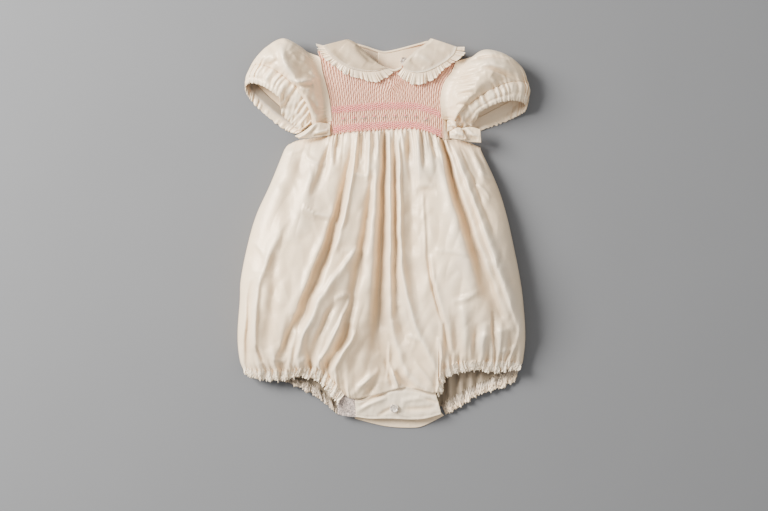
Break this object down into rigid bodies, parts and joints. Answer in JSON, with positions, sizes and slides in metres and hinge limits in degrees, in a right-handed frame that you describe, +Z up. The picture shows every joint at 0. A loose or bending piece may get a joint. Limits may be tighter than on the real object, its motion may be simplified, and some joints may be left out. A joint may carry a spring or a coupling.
{
  "type": "baby romper",
  "caption": "Short-sleeved ivory satin bubble romper for a baby, with smocked yoke, frilled collar, puff sleeves and frilled leg openings, laid flat.",
  "frame": {"origin": "middle of the bounding box, at the surface that the garment lies on", "axes": "+Y towards the neck, +X to the right seen from above, +Z up through the front"},
  "size_m": [0.3204, 0.4264, 0.0401],
  "materials": {
    "satin": "slubbed silk-like ivory satin with a soft sheen",
    "satin_inside": "ivory satin, back and inner side",
    "smocked_satin": "ivory satin in fine pleats held by pink smocking thread",
    "frill": "gathered ivory satin frill with a stitched edge",
    "fastening_tape": "soft looped fastening tape",
    "button": "pearly shirt button"
  },
  "bodies": {
    "root": {"back_bodice_left": "satin_inside", "back_bodice_right": "satin_inside", "back_body": "satin_inside", "collar_left": "satin", "collar_right": "satin", "crotch_band_back": "satin_inside", "crotch_band_front": "satin", "crotch_button": "button", "crotch_tape": "fastening_tape", "cuff_left": "frill", "cuff_right": "frill", "front_body": "satin", "front_yoke": "smocked_satin", "leg_frill_left_back": "frill", "leg_frill_left_front": "frill", "leg_frill_right_back": "frill", "leg_frill_right_front": "frill", "neck_binding": "satin", "neck_button": "button", "ruffle_left": "frill", "ruffle_right": "frill", "sash_left": "satin", "sash_right_band": "satin", "sash_right_end": "satin", "sash_right_loop": "satin", "side_strip_left": "satin", "side_strip_right": "satin", "sleeve_left": "satin", "sleeve_right": "satin"}
  },
  "joints": []
}
